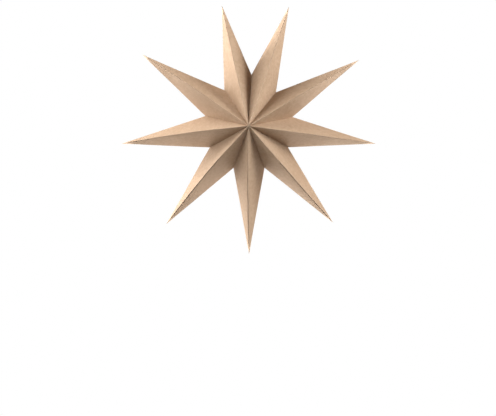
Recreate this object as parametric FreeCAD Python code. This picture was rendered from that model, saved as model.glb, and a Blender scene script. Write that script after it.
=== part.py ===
"""A nine-pointed paper star for hanging, 300 mm across.

Each point is one folded sheet of kraft card, a hollow four-sided spike. The sheet is
folded along the back ridge and down both sides, and its two free edges are turned out
and glued together as a narrow standing seam along the front ridge. Flaps turned inward
along the open end are glued to the flaps of the next point, which leaves a valley
between each two points. The star is opened like a fan and closed by hand at one last
valley, near the top, where two strips of double-sided tape hold wider flaps together.
That valley is pinched tighter, so its two points stand nearer to each other.

Millimetres. +Z is up and the front of the star faces -Y. The origin is the outer
corner of the closing valley, from which the star hangs.
"""
import FreeCAD, Part
import math
import os

# Card
CARD_THICKNESS = 0.3

# The star seen from the front, as radii from its axis
TIP_RADIUS = 150.0
FIRST_TIP_RADIUS = 144.0
LAST_TIP_RADIUS = 146.5
VALLEY_RADIUS = 52.2
SIDE_VALLEY_RADIUS = 50.6
CLOSING_VALLEY_RADIUS = 59.8

# Degrees from each point to the next, anticlockwise as seen from the front. The closing
# valley takes what is left of the full turn.
POINT_SPREADS = (43.6, 41.7, 42.0, 40.2, 40.9, 41.0, 38.8, 40.5)
CLOSING_AZIMUTH = 87.0

# The star seen from the side: all nine points meet this far before and behind its middle
APEX_DEPTH = 45.0

# Each sheet's corner at the hub is trimmed square, which leaves a pinhole on the axis
HUB_TRIM = 0.6

# Standing seam along each front ridge
SEAM_HEIGHT = 1.6
SEAM_SIDE_CLEARANCE = 0.3
SEAM_RISE = 5.0
SEAM_FALL = 30.0

# Glue flaps inside the valleys
GLUE_FLAP = 8.0
CLOSING_FLAP = 15.0
FLAP_HUB_GAP = 4.0

# Double-sided tape between the two closing flaps
TAPE_THICKNESS = 0.15
TAPE_WIDTH = 6.0
TAPE_INSET = 1.5
TAPE_HUB_GAP = 8.0
TAPE_CORNER_GAP = 14.0


def direction(azimuth):
    """Unit vector away from the axis, in the middle plane."""
    angle = math.radians(azimuth)
    return FreeCAD.Vector(math.cos(angle), 0, math.sin(angle))


def across(azimuth):
    """Unit vector square to that direction and to the axis, towards higher azimuths."""
    return direction(azimuth + 90)


FORWARD = FreeCAD.Vector(0, -1, 0)
HUB = direction(CLOSING_AZIMUTH) * -CLOSING_VALLEY_RADIUS
FRONT_APEX = HUB + FORWARD * APEX_DEPTH
BACK_APEX = HUB - FORWARD * APEX_DEPTH


def spot(azimuth, radius, forward=0.0):
    """The place at that azimuth, radius and distance in front of the middle plane."""
    return HUB + direction(azimuth) * radius + FORWARD * forward


def plate(corners, sweep):
    """A flat piece: the outline through the corners, swept along the vector."""
    outline = Part.makePolygon(corners + corners[:1])
    return Part.Face(outline).extrude(sweep)


def centred_plate(corners, sweep):
    """The same, with the outline's plane in the middle of its thickness."""
    return plate([corner - sweep * 0.5 for corner in corners], sweep)


def body_from(faces):
    """A solid closed by flat faces, each given by its corners."""
    sides = [Part.Face(Part.makePolygon(face + face[:1])) for face in faces]
    body = Part.Solid(Part.Shell(sides))
    if body.Volume < 0:
        body.reverse()
    return body


class Valley:
    """The fold between two neighbouring points: it runs from apex to corner to apex."""

    def __init__(self, azimuth, radius, flap_width, tape_thickness=0.0):
        self.azimuth = azimuth
        self.radius = radius
        self.flap_width = flap_width
        self.tape_thickness = tape_thickness
        self.corner = spot(azimuth, radius)
        self.length = math.hypot(radius, APEX_DEPTH)

    def arrow(self, inset, hub_gap):
        """Three corners of a line that follows the fold, that far inside it."""
        reach = self.radius - inset * self.length / APEX_DEPTH
        depth = APEX_DEPTH - inset * self.length / self.radius
        depth_at_gap = depth * (1 - hub_gap / reach)
        return [
            spot(self.azimuth, hub_gap, depth_at_gap),
            spot(self.azimuth, reach),
            spot(self.azimuth, hub_gap, -depth_at_gap),
        ]

    def flap(self, side):
        """The flap of one of the two points: side is +1 for the one at higher azimuths."""
        outline = self.arrow(0.0, FLAP_HUB_GAP) + self.arrow(self.flap_width, FLAP_HUB_GAP)[::-1]
        thickness = CARD_THICKNESS + self.tape_thickness / 2
        return plate(outline, across(self.azimuth) * side * thickness)

    def slit(self):
        """The thin gap that tape holds open between two flaps, right through the star."""
        depth = APEX_DEPTH + SEAM_HEIGHT
        outline = [
            spot(self.azimuth, 0.0, depth),
            spot(self.azimuth, 2 * self.radius, depth),
            spot(self.azimuth, 2 * self.radius, -depth),
            spot(self.azimuth, 0.0, -depth),
        ]
        return centred_plate(outline, across(self.azimuth) * self.tape_thickness)

    def tape(self, face):
        """A tape strip between the flaps: face is +1 for the front and -1 for the back."""
        apex = HUB + FORWARD * APEX_DEPTH * face
        along = (self.corner - apex) * (1 / self.length)
        inward = (direction(self.azimuth) * APEX_DEPTH + FORWARD * self.radius * face) * (-1 / self.length)
        near = TAPE_INSET
        far = TAPE_INSET + TAPE_WIDTH
        start = TAPE_HUB_GAP
        end = self.length - TAPE_CORNER_GAP
        places = ((start, near), (end, near), (end, far), (start, far))
        outline = [apex + along * distance + inward * inset for distance, inset in places]
        return centred_plate(outline, across(self.azimuth) * self.tape_thickness)


def outward_normal(tip, apex, corner, inside):
    """Outward unit normal of the facet through those three places."""
    normal = (apex - tip).cross(corner - tip).normalize()
    return normal if normal.dot(tip - inside) > 0 else -normal


def inward_slide(tip, before, after):
    """How far a spike moves for each of its facets to land one card thickness inside."""
    inside = (HUB + before.corner + after.corner) * (1 / 3)
    first = outward_normal(tip, FRONT_APEX, before.corner, inside)
    second = outward_normal(tip, FRONT_APEX, after.corner, inside)
    third = outward_normal(tip, BACK_APEX, before.corner, inside)
    turns = first.cross(second) + second.cross(third) + third.cross(first)
    return turns * (-CARD_THICKNESS / first.dot(second.cross(third)))


def standing_seam(azimuth, radius, before, after, slide):
    """The two glued edges that stand up along the front ridge, before the hollow is cut."""
    tip = spot(azimuth, radius)
    length = (tip - FRONT_APEX).Length
    ridge = (tip - FRONT_APEX).normalize()
    up = (direction(azimuth) * APEX_DEPTH + FORWARD * radius).normalize()
    half_angle = math.radians(min(abs(azimuth - before.azimuth), abs(after.azimuth - azimuth)))
    start = (CARD_THICKNESS + SEAM_SIDE_CLEARANCE) / math.tan(half_angle) * length / radius
    root = slide.Length
    profile = (
        (start, 0.0),
        (start + SEAM_RISE, SEAM_HEIGHT),
        (length - SEAM_FALL, SEAM_HEIGHT),
        (length - root, 0.0),
        (length - 2 * root, -root),
        (start + root, -root),
    )
    outline = [FRONT_APEX + ridge * distance + up * height for distance, height in profile]
    return centred_plate(outline, across(azimuth) * 2 * CARD_THICKNESS)


def hub_corner(azimuth):
    """What the square trim takes off the sheet, beside the axis."""
    half_width = APEX_DEPTH + SEAM_HEIGHT
    outline = []
    for aside, forward in ((-1, -1), (1, -1), (1, 1), (-1, 1)):
        level = spot(azimuth, HUB_TRIM, forward * half_width)
        outline.append(level + across(azimuth) * aside * half_width)
    return plate(outline, direction(azimuth) * -half_width)


def star_point(azimuth, radius, before, after):
    """One folded sheet: a hollow spike with its seam and its two glue flaps."""
    tip = spot(azimuth, radius)
    spike = body_from([
        [FRONT_APEX, before.corner, tip],
        [FRONT_APEX, tip, after.corner],
        [BACK_APEX, tip, before.corner],
        [BACK_APEX, after.corner, tip],
        [FRONT_APEX, BACK_APEX, before.corner],
        [FRONT_APEX, after.corner, BACK_APEX],
    ])
    slide = inward_slide(tip, before, after)
    sheet = spike.fuse(standing_seam(azimuth, radius, before, after, slide))
    sheet = sheet.cut(spike.translated(slide))
    sheet = sheet.fuse([before.flap(1), after.flap(-1)])
    sheet = sheet.cut(hub_corner(azimuth))
    for valley in (before, after):
        if valley.tape_thickness:
            sheet = sheet.cut(valley.slit())
    return sheet.removeSplitter()


def save(name, shape):
    """Checks that a piece is one sound solid, and writes it."""
    if len(shape.Solids) != 1 or not shape.isValid():
        raise ValueError(f"{name} has {len(shape.Solids)} solids, valid: {shape.isValid()}")
    shape.Solids[0].exportStep(os.path.join("parts", name + ".step"))
    print(f"{name}: {shape.Volume:.1f} mm3")


# Azimuth and radius of each tip, anticlockwise from the closing valley
closing_spread = 360 - sum(POINT_SPREADS)
azimuths = [CLOSING_AZIMUTH + closing_spread / 2]
for spread in POINT_SPREADS:
    azimuths.append(azimuths[-1] + spread)
tip_radii = [FIRST_TIP_RADIUS] + [TIP_RADIUS] * (len(azimuths) - 2) + [LAST_TIP_RADIUS]

# The valleys, each halfway between its two points. The list starts and ends with the
# closing valley, a full turn apart.
valleys = [Valley(CLOSING_AZIMUTH, CLOSING_VALLEY_RADIUS, CLOSING_FLAP, TAPE_THICKNESS)]
for number, spread in enumerate(POINT_SPREADS):
    beside_closing_pair = number in (0, len(POINT_SPREADS) - 1)
    valley_radius = SIDE_VALLEY_RADIUS if beside_closing_pair else VALLEY_RADIUS
    valleys.append(Valley(azimuths[number] + spread / 2, valley_radius, GLUE_FLAP))
valleys.append(Valley(CLOSING_AZIMUTH + 360, CLOSING_VALLEY_RADIUS, CLOSING_FLAP, TAPE_THICKNESS))

os.makedirs("parts", exist_ok=True)
for number, (azimuth, tip_radius) in enumerate(zip(azimuths, tip_radii)):
    sheet = star_point(azimuth, tip_radius, valleys[number], valleys[number + 1])
    save(f"star_point_{number + 1}", sheet)
save("closing_tape_front", valleys[0].tape(1))
save("closing_tape_back", valleys[0].tape(-1))
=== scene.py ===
"""A nine-pointed star folded from kraft card, seen from straight in front.

Nine sheets of card make the nine points. Each is a flat fan of four triangles, folded
into a hollow spike, with its free edges glued together along the front ridge. The
points are glued side by side and the last valley is taped shut. Metres throughout.
"""
import math

import bmesh
import bpy
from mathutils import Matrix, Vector, noise


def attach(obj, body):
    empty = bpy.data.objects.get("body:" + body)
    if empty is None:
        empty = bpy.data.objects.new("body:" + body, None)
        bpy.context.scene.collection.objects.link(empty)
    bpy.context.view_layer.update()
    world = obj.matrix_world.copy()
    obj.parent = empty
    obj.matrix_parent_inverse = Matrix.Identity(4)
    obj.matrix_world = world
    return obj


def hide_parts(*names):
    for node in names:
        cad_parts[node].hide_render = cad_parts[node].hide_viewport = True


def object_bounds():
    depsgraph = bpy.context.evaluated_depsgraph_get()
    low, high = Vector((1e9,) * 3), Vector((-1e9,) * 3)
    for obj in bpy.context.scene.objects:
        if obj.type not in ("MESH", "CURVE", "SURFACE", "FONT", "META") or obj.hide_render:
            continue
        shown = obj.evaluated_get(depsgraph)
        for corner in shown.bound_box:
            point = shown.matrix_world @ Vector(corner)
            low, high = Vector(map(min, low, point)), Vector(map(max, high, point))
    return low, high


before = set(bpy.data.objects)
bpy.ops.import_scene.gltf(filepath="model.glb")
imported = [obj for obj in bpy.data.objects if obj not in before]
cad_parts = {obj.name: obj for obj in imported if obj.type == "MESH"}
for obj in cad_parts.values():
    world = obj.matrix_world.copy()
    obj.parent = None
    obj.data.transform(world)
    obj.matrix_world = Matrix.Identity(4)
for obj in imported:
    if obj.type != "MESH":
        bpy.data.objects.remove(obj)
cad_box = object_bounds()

# Kraft card
#
# Unbleached brown board, 0.3 mm thick, uncoated and matt. Its long fibres lie along the
# grain, its pulp is slightly cloudy, and it pales where a fold has cracked the surface.

CARD_THICKNESS = 0.0003

# Its brown, clouded pulp, the pale fibres and dark flecks along the grain, and worn folds
KRAFT_BROWN = (0.525, 0.368, 0.247, 1)
KRAFT_DARK = (0.455, 0.309, 0.200, 1)
KRAFT_PALE = (0.600, 0.440, 0.315, 1)
FIBRE_DARK = (0.300, 0.175, 0.098, 1)
FOLD_PALE = (0.680, 0.500, 0.350, 1)
GRAIN_STRETCH = (0.12, 1.0, 1.0)
PULP_SCALE = 260.0
PATCH_SCALE = 28.0
FIBRE_SCALE = 3800.0
FLECK_SCALE = 1500.0
CRACK_SCALE = 900.0
FIBRE_STRENGTH = 0.45
FLECK_STRENGTH = 0.40
WORN_STRENGTH = 0.45
WORN_FROM = 0.0001
WORN_TO = 0.0004
WORN_WANDER = 0.0005


class Tone:
    """A value or colour in a material's node tree, which arithmetic adds nodes to."""

    def __init__(self, tree, socket=None):
        self.tree = tree
        self.socket = socket

    def node(self, kind, settings=(), inputs=(), output=0):
        """Adds a node of that type with its settings and inputs, and gives one output."""
        node = self.tree.nodes.new(kind)
        for name, value in dict(settings).items():
            setattr(node, name, value)
        for name, value in dict(inputs).items():
            if isinstance(value, Tone):
                self.tree.links.new(value.socket, node.inputs[name])
            else:
                node.inputs[name].default_value = value
        return Tone(self.tree, node.outputs[output])

    def maths(self, operation, other=0.0):
        return self.node("ShaderNodeMath", {"operation": operation}, {0: self, 1: other})

    def __add__(self, other):
        return self.maths("ADD", other)

    def __sub__(self, other):
        return self.maths("SUBTRACT", other)

    def __rsub__(self, other):
        return self.node("ShaderNodeMath", {"operation": "SUBTRACT"}, {0: other, 1: self})

    def __mul__(self, other):
        return self.maths("MULTIPLY", other)

    __radd__ = __add__
    __rmul__ = __mul__

    def between(self, low, high):
        """0 up to low, 1 from high on, and smooth between them."""
        settings = {"interpolation_type": "SMOOTHSTEP"}
        inputs = {"Value": self, "From Min": low, "From Max": high}
        return self.node("ShaderNodeMapRange", settings, inputs)

    def mix(self, first, second):
        """Between two colours, by this value."""
        settings = {"data_type": "RGBA"}
        return self.node("ShaderNodeMix", settings, {"Factor": self, "A": first, "B": second}, 2)


def cloud(tone, place, scale, detail=2.0, roughness=0.5):
    """Smooth noise from 0 to 1, read at that place on the card."""
    inputs = {"Vector": place, "Scale": scale, "Detail": detail, "Roughness": roughness}
    return tone.node("ShaderNodeTexNoise", {}, inputs)


def kraft_card(name, edge=False):
    """The card's material: its face, or its cut edge."""
    card = bpy.data.materials.new(name)
    card.use_nodes = True
    tone = Tone(card.node_tree)
    flat = tone.node("ShaderNodeAttribute", {"attribute_name": "flat_card"}, {}, 1)
    grain = tone.node("ShaderNodeMapping", {}, {"Vector": flat, "Scale": GRAIN_STRETCH})
    pulp = cloud(tone, flat, PULP_SCALE, 3.0, 0.6)
    fibres = cloud(tone, grain, FIBRE_SCALE, 2.0, 0.6)

    if edge:
        colour = fibres.mix(KRAFT_BROWN, FOLD_PALE)
    else:
        patches = cloud(tone, flat, PATCH_SCALE, 2.0)
        flecks = cloud(tone, grain, FLECK_SCALE, 1.0)
        cracks = cloud(tone, flat, CRACK_SCALE, 3.0, 0.7)
        from_fold = tone.node("ShaderNodeAttribute", {"attribute_name": "from_fold"}, {}, 2)
        colour = (pulp * 0.6 + patches * 0.4).between(0.36, 0.64).mix(KRAFT_DARK, KRAFT_BROWN)
        colour = (fibres.between(0.50, 0.74) * FIBRE_STRENGTH).mix(colour, KRAFT_PALE)
        colour = (flecks.between(0.70, 0.78) * FLECK_STRENGTH).mix(colour, FIBRE_DARK)
        whole = (from_fold + (cracks - 0.5) * WORN_WANDER).between(WORN_FROM, WORN_TO)
        colour = ((1 - whole) * WORN_STRENGTH).mix(colour, FOLD_PALE)

    height = fibres * 0.3 + pulp * 0.7
    relief = {"Height": height, "Strength": 0.12, "Distance": 0.00006}
    bump = tone.node("ShaderNodeBump", {}, relief)
    surface = card.node_tree.nodes["Principled BSDF"]
    surface.inputs["Specular IOR Level"].default_value = 0.25
    card.node_tree.links.new(colour.socket, surface.inputs["Base Color"])
    card.node_tree.links.new((0.86 - pulp * 0.12).socket, surface.inputs["Roughness"])
    card.node_tree.links.new(bump.socket, surface.inputs["Normal"])
    return card


# The nine folded points
#
# One sheet of card each: a fan of four triangles round the tip, folded along the back
# ridge and down both sides. The free edges stand up along the front ridge, glued face to
# face. Flaps at the open end are glued to the flaps of the next point.

TIP_RADIUS = 0.150
FIRST_TIP_RADIUS = 0.144
LAST_TIP_RADIUS = 0.1465
VALLEY_RADIUS = 0.0522
SIDE_VALLEY_RADIUS = 0.0506
CLOSING_VALLEY_RADIUS = 0.0598
POINT_SPREADS = (43.6, 41.7, 42.0, 40.2, 40.9, 41.0, 38.8, 40.5)
CLOSING_AZIMUTH = 87.0
APEX_DEPTH = 0.04484
HUB_TRIM = 0.00012

GLUE_FLAP = 0.008
CLOSING_FLAP = 0.015
FLAP_HUB_GAP = 0.004

# The standing seam rises a little way out from the hub and falls again towards the tip.
# Its two edges gape more and more over the first stretch, and close again at the tip.
SEAM_HEIGHT = 0.0015
SEAM_START = 0.0022
SEAM_RISE = 0.005
SEAM_FALL = 0.030
SEAM_TAPER = 0.14
SEAM_PARTING = 0.07

# Each triangle of the fan is cut into rows, narrower towards the valleys
CARD_CUTS = 23
ROW_CROWDING = 1.6

# Folds are rounded, but not where the sheet is pinched into its tip
FOLD_RADIUS = 0.00025
FOLD_STEPS = 3
SHARP_TIP = 0.012

# The flanks swell between valley and ridge, and lie flat again near the side folds. The
# card beside the closing valley also shifts to one side.
VALLEY_BULGES = (0.00, 0.00, 0.10, 0.20, 0.20, 0.10, 0.00, 0.00)
VALLEY_FADE = 0.6
CLOSING_BULGE = 0.30
CLOSING_FADE = 0.28
BULGE_POWER = 1.2
CLOSING_SWAY = 0.0016
SWAY_START = 0.08
SWAY_POWER = 3

# The card's own waves, calm towards the tip and the axis
WAVE_HEIGHT = 0.0002
WAVE_LENGTH = 0.035
CALM_TIP = 0.03
CALM_AXIS = 0.02

# Near the tip and the axis the card is as thin as these shares of the distance to them
TIP_THINNING = 0.10
AXIS_THINNING = 0.35

# Nearer than this is the same place
SAME_PLACE = 1e-7
MERGE_DISTANCE = 1e-6
SMALLEST_SHARE = 1e-6

FORWARD = Vector((0, -1, 0))


def direction(azimuth):
    """Unit vector away from the star's axis, anticlockwise from +X as seen from the front."""
    angle = math.radians(azimuth)
    return Vector((math.cos(angle), 0, math.sin(angle)))


HUB = direction(CLOSING_AZIMUTH) * -CLOSING_VALLEY_RADIUS


class Valley:
    """Where two points meet, the flap that each turns in there, and how their flanks bend."""

    def __init__(self, azimuth, radius, flap_width, bulge, fade, sway=0.0):
        self.azimuth = azimuth
        self.radius = radius
        self.flap_width = flap_width
        self.bulge = bulge
        self.fade = fade
        self.sway = sway
        self.out = direction(azimuth)
        self.aside = direction(azimuth + 90)
        self.corner = HUB + direction(azimuth) * radius

    def flap_edge(self, place):
        """Where the flap's inner edge lies, level with a place on the fold."""
        slope = math.hypot(self.radius, APEX_DEPTH)
        depth = (place - HUB).dot(FORWARD)
        share = 1 - abs(depth) / APEX_DEPTH
        if share * self.radius < FLAP_HUB_GAP:
            return place.copy()
        reach = (self.radius - self.flap_width * slope / APEX_DEPTH) * share
        inner_depth = (APEX_DEPTH - self.flap_width * slope / self.radius) * (1 - share)
        side = math.copysign(1, depth)
        return HUB + self.out * reach + FORWARD * inner_depth * side


class Spike:
    """One point's place in the star: its tip, and the corners of its four triangles.

    The triangles lie between the rays from the tip to the front apex, the next valley, the
    back apex, the valley before, and the front apex again.
    """

    def __init__(self, azimuth, tip_radius, before, after):
        self.azimuth = azimuth
        self.tip_radius = tip_radius
        self.before = before
        self.after = after
        self.out = direction(azimuth)
        self.aside = direction(azimuth + 90)
        self.tip = HUB + self.out * tip_radius
        front = HUB + FORWARD * APEX_DEPTH
        back = HUB - FORWARD * APEX_DEPTH
        self.corners = (front, after.corner, back, before.corner, front)
        self.rays = [corner - self.tip for corner in self.corners]


def split_by_rays(arm, first, second):
    """How much of each ray adds up to the arm, which lies in their plane."""
    a, b, c = first.dot(first), first.dot(second), second.dot(second)
    u, v = arm.dot(first), arm.dot(second)
    determinant = a * c - b * b
    return (u * c - v * b) / determinant, (v * a - u * b) / determinant


def cut_fan(spike):
    """The flat-sided sheet, with its rows crowded towards the valleys, cut open in front."""
    front, after, back, before = (spike.tip + ray for ray in spike.rays[:4])
    places = {(0, 0): spike.tip, (1, 0): back, (0, 1): after, (-1, 0): front, (0, -1): before}
    fan = bmesh.new()
    facet_of = fan.faces.layers.int.new("facet")
    bmesh.ops.create_circle(fan, cap_ends=True, cap_tris=True, segments=4, radius=1.0)
    marks = {}
    for vert in fan.verts:
        marks[vert] = (round(vert.co.x), round(vert.co.y))
    order = {(-1, 0): 0, (0, 1): 1, (1, 0): 2, (0, -1): 3}
    for face in fan.faces:
        rim = sorted(order[marks[vert]] for vert in face.verts if marks[vert] != (0, 0))
        face[facet_of] = 3 if rim == [0, 3] else rim[0]
    ridge = [edge for edge in fan.edges if {marks[vert] for vert in edge.verts} == {(0, 0), (-1, 0)}]
    for vert, mark in marks.items():
        vert.co = places[mark]
    bmesh.ops.split_edges(fan, edges=ridge)
    bmesh.ops.subdivide_edges(fan, edges=fan.edges[:], cuts=CARD_CUTS, use_grid_fill=True)
    for vert in fan.verts:
        arm = vert.co - spike.tip
        facet = vert.link_faces[0][facet_of]
        first, second = split_by_rays(arm, spike.rays[facet], spike.rays[facet + 1])
        inward = 1 - (first + second)
        if 0 < inward < 1:
            vert.co = spike.tip + arm * (1 - inward ** ROW_CROWDING) / (first + second)
    return fan, facet_of


def mark_card(sheet, facet_of, spike):
    """Tells the material each vertex's place on the flat card, and how near a fold is.

    Gives each vertex's triangle, and its share of that triangle's two rays.
    """
    flat_card = sheet.verts.layers.float_vector.new("flat_card")
    from_fold = sheet.verts.layers.float.new("from_fold")
    turns = [0.0]
    for first, second in zip(spike.rays, spike.rays[1:]):
        turns.append(turns[-1] + first.angle(second))
    seats = {}
    for vert in sheet.verts:
        arm = vert.co - spike.tip
        facet = vert.link_faces[0][facet_of]
        first, second = spike.rays[facet], spike.rays[facet + 1]
        angle = turns[facet] + (first.angle(arm) if arm.length > SAME_PLACE else 0)
        vert[flat_card] = Vector((math.cos(angle), math.sin(angle), 0)) * arm.length + spike.out
        corner = spike.corners[facet]
        base = spike.corners[facet + 1] - corner
        distances = [arm.cross(ray).length / ray.length for ray in (first, second)]
        distances.append((vert.co - corner).cross(base).length / base.length)
        vert[from_fold] = min(distances)
        seats[vert] = (facet, split_by_rays(arm, first, second))
    return seats


def bend_flanks(seats, spike):
    """Swells each triangle between its valley and its ridge, and shifts it beside the valley."""
    for vert, (facet, share) in seats.items():
        ridge, side = (0, 1) if facet in (0, 2) else (1, 0)
        valley = spike.after if facet < 2 else spike.before
        at_tip = 1 - share[0] - share[1]
        if min(at_tip, share[side], share[ridge]) < SMALLEST_SHARE:
            continue
        across = at_tip / (at_tip + share[side])
        from_apex = 1 - share[ridge]
        ridge_ray = spike.rays[facet + ridge]
        width = spike.rays[facet + side].cross(ridge_ray).length / ridge_ray.length
        normal = spike.rays[facet + 1].cross(spike.rays[facet]).normalized()
        if normal.dot(spike.tip - HUB) < 0:
            normal.negate()
        fade = math.sin(math.pi / 2 * min(1.0, share[ridge] / valley.fade))
        swell = valley.bulge * width * from_apex * across * (1 - across) ** BULGE_POWER * fade
        bow = math.sqrt(math.sin(math.pi * from_apex))
        bend = bow * min(1.0, across / SWAY_START) * (1 - across) ** SWAY_POWER
        vert.co += normal * swell + valley.aside * valley.sway * bend


def raise_seam(sheet, facet_of, spike, lean, gap):
    """Parts the two free edges, stands them up as the seam, and gives the seam's vertices."""
    free_edges = {0: [], 3: []}
    for edge in sheet.edges:
        facet = edge.link_faces[0][facet_of]
        on_ridge = all(abs((vert.co - HUB).dot(spike.aside)) < SAME_PLACE for vert in edge.verts)
        if edge.is_boundary and on_ridge and (edge.verts[0].co - HUB).dot(FORWARD) > -SAME_PLACE:
            free_edges[facet].append(edge)
    ridge_line = spike.rays[0].normalized()
    seam = {}
    for facet, side in ((0, 1), (3, -1)):
        plane_normal = spike.rays[facet].cross(spike.rays[facet + 1]).normalized()
        in_plane = plane_normal.cross(ridge_line)
        in_plane *= 1 / in_plane.dot(spike.aside * side)
        for vert in {vert for edge in free_edges[facet] for vert in edge.verts}:
            from_tip = (vert.co - spike.tip).length
            from_apex = spike.rays[0].length - from_tip
            past_apex = max(0.0, from_apex)
            half = min(CARD_THICKNESS, SEAM_TAPER * from_tip, SEAM_TAPER * past_apex)
            parting = min(1.0, from_tip / SEAM_FALL) * min(1.0, past_apex / SEAM_PARTING) ** 2
            seam[vert] = (from_tip, from_apex, gap * side * parting)
            vert.co += in_plane * (half + gap * parting * SEAM_HEIGHT / 2)

    up = (spike.out * APEX_DEPTH + FORWARD * spike.tip_radius).normalized()
    lips = bmesh.ops.extrude_edge_only(sheet, edges=free_edges[0] + free_edges[3])
    for top in [item for item in lips["geom"] if isinstance(item, bmesh.types.BMVert)]:
        below = next(edge.other_vert(top) for edge in top.link_edges if edge.other_vert(top) in seam)
        from_tip, from_apex, opening = seam[below]
        rise = min((from_apex - SEAM_START) / SEAM_RISE, from_tip / SEAM_FALL, 1)
        if rise <= 0:
            continue
        top.co += (up + spike.aside * (lean + opening)) * SEAM_HEIGHT * rise
        seam[top] = seam[below]
    return seam


def round_folds(sheet, facet_of, spike, seam):
    """Rounds the folds along the back ridge and down both sides, up to the sharp tip."""
    folds = []
    for edge in sheet.edges:
        near_tip = min((vert.co - spike.tip).length for vert in edge.verts) < SHARP_TIP
        if len(edge.link_faces) != 2 or near_tip:
            continue
        facets = {face[facet_of] for face in edge.link_faces}
        if len(facets) == 2 and not any(vert in seam for vert in edge.verts):
            folds.append(edge)
    bmesh.ops.bevel(
        sheet, geom=folds, affect="EDGES", offset=FOLD_RADIUS, segments=FOLD_STEPS,
        profile=0.5, material=-1, clamp_overlap=True
    )


def turn_in_flaps(sheet, spike):
    """Adds the flaps along both valleys, and trims the sheet at the axis."""
    for valley in (spike.before, spike.after):
        open_edges = []
        for edge in sheet.edges:
            arms = [vert.co - HUB for vert in edge.verts]
            in_valley = all(abs(arm.dot(valley.aside)) < FOLD_RADIUS for arm in arms)
            past_hub = all(arm.dot(valley.out) > HUB_TRIM / 2 for arm in arms)
            if edge.is_boundary and in_valley and past_hub:
                open_edges.append(edge)
        flap = bmesh.ops.extrude_edge_only(sheet, edges=open_edges)
        for item in flap["geom"]:
            if isinstance(item, bmesh.types.BMVert):
                item.co = valley.flap_edge(item.co)
    bmesh.ops.remove_doubles(sheet, verts=sheet.verts[:], dist=MERGE_DISTANCE)
    everything = sheet.verts[:] + sheet.edges[:] + sheet.faces[:]
    trim_place = HUB + spike.out * HUB_TRIM
    bmesh.ops.bisect_plane(
        sheet, geom=everything, plane_co=trim_place, plane_no=spike.out, clear_inner=True
    )


def settle_card(sheet, card_weight, spike, ridge_sway):
    """Gives the card its waves, bows its front ridge, and thins it near tip and axis."""
    for vert in sheet.verts:
        from_tip = (vert.co - spike.tip).length
        arm = vert.co - HUB
        from_axis = arm.dot(spike.out)
        sideways = arm.dot(spike.aside)
        along = min(1.0, max(0.0, from_axis / spike.tip_radius))
        calm = min(1.0, from_tip / CALM_TIP, max(0.0, from_axis) / CALM_AXIS)
        shift = noise.noise_vector(vert.co / WAVE_LENGTH) * WAVE_HEIGHT * calm
        if 0 < along < 1:
            level = min(1.0, arm.dot(FORWARD) / (APEX_DEPTH * (1 - along)))
            valley = spike.after if sideways > 0 else spike.before
            half_width = from_axis * math.tan(abs(math.radians(valley.azimuth - spike.azimuth)))
            near_ridge = min(level, 1 - abs(sideways) / half_width)
            shift += spike.aside * ridge_sway * math.sin(math.pi * along) * max(0.0, near_ridge)
        vert.co += shift
        at_tip = TIP_THINNING * from_tip / CARD_THICKNESS
        at_axis = AXIS_THINNING * from_axis / CARD_THICKNESS
        vert[card_weight][0] = min(1.0, at_tip, at_axis)
    for face in sheet.faces:
        face.smooth = True


def fold_point(spike, ridge_sway, lean, gap):
    """Folds one sheet of card into a hollow point, and gives its mesh."""
    sheet, facet_of = cut_fan(spike)
    card_weight = sheet.verts.layers.deform.new("thickness")
    seats = mark_card(sheet, facet_of, spike)
    bend_flanks(seats, spike)
    seam = raise_seam(sheet, facet_of, spike, lean, gap)
    round_folds(sheet, facet_of, spike, seam)
    turn_in_flaps(sheet, spike)
    settle_card(sheet, card_weight, spike, ridge_sway)
    mesh = bpy.data.meshes.new("kraft_point")
    sheet.to_mesh(mesh)
    sheet.free()
    return mesh


card_face = kraft_card("kraft card face")
card_edge = kraft_card("kraft card edge", edge=True)

closing_spread = 360 - sum(POINT_SPREADS)
azimuths = [CLOSING_AZIMUTH + closing_spread / 2]
for spread in POINT_SPREADS:
    azimuths.append(azimuths[-1] + spread)
tip_radii = [FIRST_TIP_RADIUS] + [TIP_RADIUS] * (len(azimuths) - 2) + [LAST_TIP_RADIUS]
closing_bend = (CLOSING_FLAP, CLOSING_BULGE, CLOSING_FADE, CLOSING_SWAY)
valleys = [Valley(CLOSING_AZIMUTH, CLOSING_VALLEY_RADIUS, *closing_bend)]
for number, spread in enumerate(POINT_SPREADS):
    beside_closing_pair = number in (0, len(POINT_SPREADS) - 1)
    valley_radius = SIDE_VALLEY_RADIUS if beside_closing_pair else VALLEY_RADIUS
    bend = (GLUE_FLAP, VALLEY_BULGES[number], VALLEY_FADE)
    valleys.append(Valley(azimuths[number] + spread / 2, valley_radius, *bend))
valleys.append(Valley(CLOSING_AZIMUTH + 360, CLOSING_VALLEY_RADIUS, *closing_bend))

# How far each front ridge bows towards the next point, how far its seam leans that way,
# and how far the seam's two edges gape
RIDGE_SWAYS = (0.0006, -0.0011, -0.0017, -0.0021, -0.0013, -0.0007, 0.0, 0.0, 0.0)
SEAM_LEANS = (0.05, -0.10, -0.30, -0.30, 0.15, 0.30, 0.25, 0.10, 0.05)
SEAM_GAPS = (0.02, 0.03, 0.10, 0.34, 0.28, 0.30, 0.12, 0.03, 0.02)
FLAT_FACE_WEIGHT = 80

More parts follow.
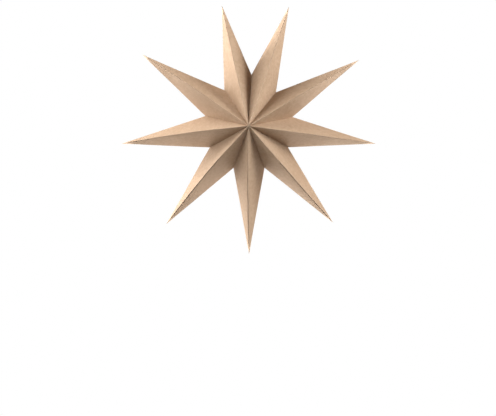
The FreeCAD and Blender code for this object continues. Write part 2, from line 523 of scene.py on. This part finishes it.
for number, azimuth in enumerate(azimuths):
    spike = Spike(azimuth, tip_radii[number], valleys[number], valleys[number + 1])
    mesh = fold_point(spike, RIDGE_SWAYS[number], SEAM_LEANS[number], SEAM_GAPS[number])
    mesh.materials.append(card_face)
    mesh.materials.append(card_edge)
    point = bpy.data.objects.new(f"kraft_point_{number + 1}", mesh)
    bpy.context.collection.objects.link(point)
    point.vertex_groups.new(name="thickness")
    wall = point.modifiers.new("card thickness", "SOLIDIFY")
    wall.thickness = CARD_THICKNESS
    wall.offset = -1
    wall.use_even_offset = True
    wall.vertex_group = "thickness"
    wall.material_offset_rim = 1
    shading = point.modifiers.new("crisp folds", "WEIGHTED_NORMAL")
    shading.weight = FLAT_FACE_WEIGHT
    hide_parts(f"star_point_{number + 1}")
    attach(point, "root")


# Closing tape
#
# Two strips of thin double-sided tissue tape, pressed between the last two flaps. They
# are hidden once the star is closed.

tissue = bpy.data.materials.new("tissue tape")
tissue.use_nodes = True
tape_tone = Tone(tissue.node_tree)
tape_place = tape_tone.node("ShaderNodeTexCoord", {}, {}, 3)
TISSUE_SCALE = 900.0
TISSUE_DARK = (0.78, 0.76, 0.70, 1)
TISSUE_PALE = (0.88, 0.87, 0.83, 1)
tape_cloud = cloud(tape_tone, tape_place, TISSUE_SCALE, 3.0)
tape_colour = tape_cloud.mix(TISSUE_DARK, TISSUE_PALE)
tape_surface = tissue.node_tree.nodes["Principled BSDF"]
tape_surface.inputs["Roughness"].default_value = 0.6
tissue.node_tree.links.new(tape_colour.socket, tape_surface.inputs["Base Color"])
for name in ("closing_tape_front", "closing_tape_back"):
    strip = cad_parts[name]
    strip.data.materials.clear()
    strip.data.materials.append(tissue)


# Studio
#
# The star hangs in front of plain white paper over a pale round table top. Seven square
# softboxes stand round it at the same distance, four beside it and three behind it.

FLOOR_DROP = 0.34
FLOOR_RADIUS = 0.32
FLOOR_GREY = (0.80, 0.80, 0.79, 1)
FADE_FROM = 0.16
FADE_TO = 0.31
PAPER_WHITE = (1, 1, 1, 1)
ROOM_LIGHT = 0.01
floor_mesh = bpy.data.meshes.new("floor")
disc = bmesh.new()
bmesh.ops.create_circle(disc, cap_ends=True, segments=96, radius=FLOOR_RADIUS)
bmesh.ops.translate(disc, verts=disc.verts[:], vec=(HUB.x, 0, cad_box[0][2] - FLOOR_DROP))
disc.to_mesh(floor_mesh)
disc.free()
floor = bpy.data.objects.new("floor", floor_mesh)
bpy.context.collection.objects.link(floor)

pale = bpy.data.materials.new("pale floor")
pale.use_nodes = True
floor_tone = Tone(pale.node_tree)
floor_place = floor_tone.node("ShaderNodeTexCoord", {}, {}, 3)
from_middle = floor_tone.node("ShaderNodeVectorMath", {"operation": "LENGTH"}, {0: floor_place}, 1)
seen_floor = floor_tone.node("ShaderNodeLightPath", {}, {}, 0)
white_paper = floor_tone.node("ShaderNodeEmission", {}, {"Color": PAPER_WHITE, "Strength": 1.0})
pale_surface = pale.node_tree.nodes["Principled BSDF"]
pale_surface.inputs["Base Color"].default_value = FLOOR_GREY
pale_surface.inputs["Roughness"].default_value = 0.9
painted = Tone(pale.node_tree, pale_surface.outputs[0])
fading = from_middle.between(FADE_FROM, FADE_TO) * seen_floor
mixed = floor_tone.node("ShaderNodeMixShader", {}, {0: fading, 1: painted, 2: white_paper})
pale.node_tree.links.new(mixed.socket, pale.node_tree.nodes["Material Output"].inputs["Surface"])
floor_mesh.materials.append(pale)

world = bpy.data.worlds.new("studio")
bpy.context.scene.world = world
world.use_nodes = True
world.node_tree.nodes.clear()
air = Tone(world.node_tree)
camera_ray = air.node("ShaderNodeLightPath", {}, {}, 0)
glossy_ray = air.node("ShaderNodeLightPath", {}, {}, 3)
glass_ray = air.node("ShaderNodeLightPath", {}, {}, 6)
seen_directly = (camera_ray + glossy_ray + glass_ray).maths("MINIMUM", 1.0)
room = air.node("ShaderNodeBackground", {}, {"Color": PAPER_WHITE, "Strength": ROOM_LIGHT})
backdrop = air.node("ShaderNodeBackground", {}, {"Color": PAPER_WHITE, "Strength": 1.0})
sky = air.node("ShaderNodeMixShader", {}, {0: seen_directly, 1: room, 2: backdrop})
air_output = world.node_tree.nodes.new("ShaderNodeOutputWorld")
world.node_tree.links.new(sky.socket, air_output.inputs["Surface"])

LAMP_DISTANCE = 1.3
LAMP_SIZE = 0.8


def lamp(name, azimuth, forward, power):
    """A square softbox that points at the hub, so far round from +X and to the front."""
    light = bpy.data.lights.new(name, "AREA")
    light.shape = "SQUARE"
    light.size = LAMP_SIZE
    light.energy = power
    stand = bpy.data.objects.new(name, light)
    lift = math.radians(forward)
    toward = direction(azimuth) * math.cos(lift) + FORWARD * math.sin(lift)
    stand.location = HUB + toward * LAMP_DISTANCE
    stand.rotation_euler = (-toward).to_track_quat("-Z", "Y").to_euler()
    bpy.context.collection.objects.link(stand)


lamp("right lamp", 20, 12, 23)
lamp("left lamp", 180, 12, 9)
lamp("top lamp", 120, 12, 13)
lamp("upper left lamp", 150, -12, 17)
lamp("back left lamp", 180, -35, 19)
lamp("back low left lamp", 240, -35, 19)
lamp("back low right lamp", 300, -35, 20)

CAMERA_DISTANCE = 3.0
FRAME_WIDTH = 0.5785
HUB_ABOVE_MIDDLE = 0.0958
HUB_RIGHT_OF_MIDDLE = 0.0009
view = bpy.data.cameras.new("camera")
view.sensor_width = 36.0
slant = math.hypot(CAMERA_DISTANCE, HUB_ABOVE_MIDDLE)
view.lens = view.sensor_width * CAMERA_DISTANCE ** 2 / slant / FRAME_WIDTH
camera = bpy.data.objects.new("camera", view)
camera.location = HUB + FORWARD * CAMERA_DISTANCE
sight = FORWARD * CAMERA_DISTANCE + Vector((HUB_RIGHT_OF_MIDDLE, 0, HUB_ABOVE_MIDDLE))
camera.rotation_euler = sight.to_track_quat("Z", "Y").to_euler()
bpy.context.collection.objects.link(camera)
bpy.context.scene.camera = camera

bpy.context.scene.view_settings.view_transform = "Standard"
